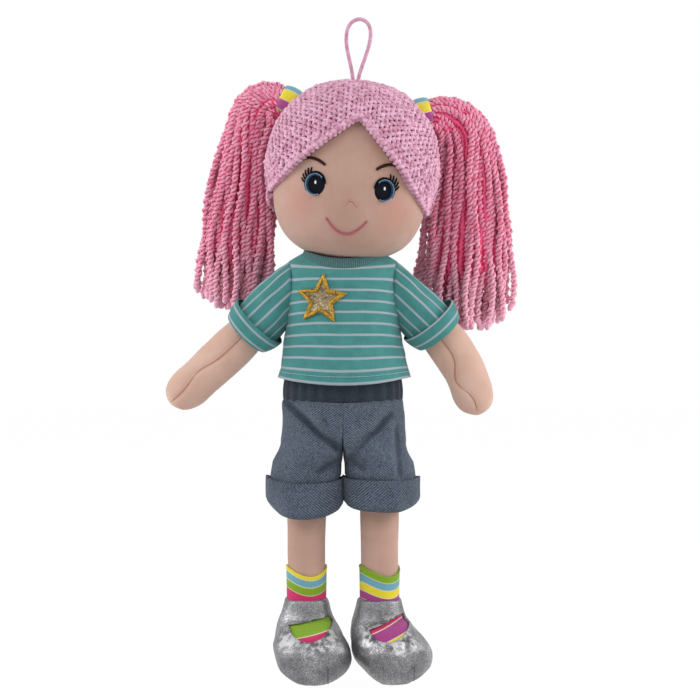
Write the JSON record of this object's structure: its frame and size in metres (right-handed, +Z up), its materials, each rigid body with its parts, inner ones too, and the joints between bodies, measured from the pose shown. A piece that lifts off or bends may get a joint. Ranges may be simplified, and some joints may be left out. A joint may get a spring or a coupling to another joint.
{
  "type": "rag doll",
  "caption": "Soft rag doll with yarn pigtails, a T-shirt, denim shorts and cloth shoes, hanging by a cord loop; head, arms, legs and pigtails swing on sewn joints.",
  "frame": {"origin": "inside top of the cord loop, where a hook carries the doll", "axes": "+Z up along the hanging doll, -Y the way the face looks, +X the doll's own left"},
  "size_m": [0.2328, 0.0958, 0.4369],
  "materials": {
    "peach_jersey": "soft brushed jersey",
    "fibre_fill": "loose fibre filling",
    "pink_yarn": "crimped chenille yarn",
    "pink_cord": "twisted cord",
    "striped_ribbon": "woven ribbon with bright stripes",
    "teal_jersey": "jersey with thin pale stripes",
    "pale_rib": "fine rib knit",
    "gold_thread": "satin stitch",
    "gold_glitter": "glitter cloth",
    "denim": "washed twill",
    "pale_denim": "reverse of the twill",
    "elastic": "woven elastic",
    "black_thread": "satin stitch",
    "blue_thread": "satin stitch",
    "white_thread": "satin stitch",
    "brown_thread": "satin stitch",
    "pink_thread": "satin stitch",
    "striped_knit": "knit with bright stripes",
    "silver_cloth": "crinkled metallic cloth",
    "sole_cloth": "stiffened cloth"
  },
  "bodies": {
    "hanger": {"hang_loop": "pink_cord"},
    "head": {"brow_left": "brown_thread", "brow_right": "brown_thread", "eye_black_left": "black_thread", "eye_black_right": "black_thread", "eye_blue_left": "blue_thread", "eye_blue_right": "blue_thread", "eye_glint_left": "white_thread", "eye_glint_right": "white_thread", "hair_cap_left": "pink_yarn", "hair_cap_right": "pink_yarn", "head_skin": "peach_jersey", "head_stuffing": "fibre_fill", "lashes_left": "black_thread", "lashes_right": "black_thread", "mouth_stitch": "pink_thread", "nose_stitch": "pink_thread"},
    "torso": {"neck": "peach_jersey", "neckband": "pale_rib", "shirt_back": "teal_jersey", "shirt_front": "teal_jersey", "shorts_left": "denim", "shorts_right": "denim", "shorts_waistband": "denim", "sleeve_left": "teal_jersey", "sleeve_right": "teal_jersey", "star_border": "gold_thread", "star_centre": "gold_glitter", "torso_skin": "peach_jersey", "torso_stuffing": "fibre_fill", "turnup_left": "pale_denim", "turnup_right": "pale_denim", "waist_elastic": "elastic"},
    "pigtail_right": {"pigtail_right": "pink_yarn", "hair_tie_right": "striped_ribbon"},
    "arm_right": {"arm_skin_right": "peach_jersey", "arm_stuffing_right": "fibre_fill", "sleeve_cuff_right": "teal_jersey"},
    "leg_right": {"leg_skin_right": "peach_jersey", "leg_stuffing_right": "fibre_fill", "sock_right": "striped_knit", "shoe_upper_right": "silver_cloth", "shoe_sole_right": "sole_cloth"},
    "pigtail_left": {"pigtail_left": "pink_yarn", "hair_tie_left": "striped_ribbon"},
    "arm_left": {"arm_skin_left": "peach_jersey", "arm_stuffing_left": "fibre_fill", "sleeve_cuff_left": "teal_jersey"},
    "leg_left": {"leg_skin_left": "peach_jersey", "leg_stuffing_left": "fibre_fill", "sock_left": "striped_knit", "shoe_upper_left": "silver_cloth", "shoe_sole_left": "sole_cloth"}
  },
  "joints": [
    {"name": "loop_fold", "type": "hinge", "parent": "hanger", "child": "head", "pos_m": [-0.0027, 0, -0.0392], "axis": [1, 0, 0], "range_deg": [-80, 80]},
    {"name": "neck_nod", "type": "hinge", "parent": "head", "child": "torso", "pos_m": [-0.01092, -0.004, -0.15041], "axis": [1, 0, 0], "range_deg": [-20, 10], "deforming": ["neck", "neckband"]},
    {"name": "pigtail_swing_right", "type": "hinge", "parent": "head", "child": "pigtail_right", "pos_m": [-0.04656, 0.004, -0.05293], "axis": [0.9962, 0, -0.0872], "range_deg": [0, 60]},
    {"name": "pigtail_swing_left", "type": "hinge", "parent": "head", "child": "pigtail_left", "pos_m": [0.0411, 0.004, -0.0606], "axis": [0.9962, 0, -0.0872], "range_deg": [0, 60]},
    {"name": "shoulder_swing_right", "type": "hinge", "parent": "torso", "child": "arm_right", "pos_m": [-0.04942, -0.004, -0.18141], "axis": [-1, 0, 0], "range_deg": [-15, 100], "deforming": ["sleeve_right"]},
    {"name": "shoulder_swing_left", "type": "hinge", "parent": "torso", "child": "arm_left", "pos_m": [0.02758, -0.004, -0.18141], "axis": [-1, 0, 0], "range_deg": [-15, 100], "deforming": ["sleeve_left"]},
    {"name": "hip_swing_right", "type": "hinge", "parent": "torso", "child": "leg_right", "pos_m": [-0.03492, -0.004, -0.28141], "axis": [-1, 0, 0], "range_deg": [-40, 90], "deforming": ["shorts_right", "turnup_right"]},
    {"name": "hip_swing_left", "type": "hinge", "parent": "torso", "child": "leg_left", "pos_m": [0.01308, -0.004, -0.28141], "axis": [-1, 0, 0], "range_deg": [-40, 90], "deforming": ["shorts_left", "turnup_left"]}
  ]
}
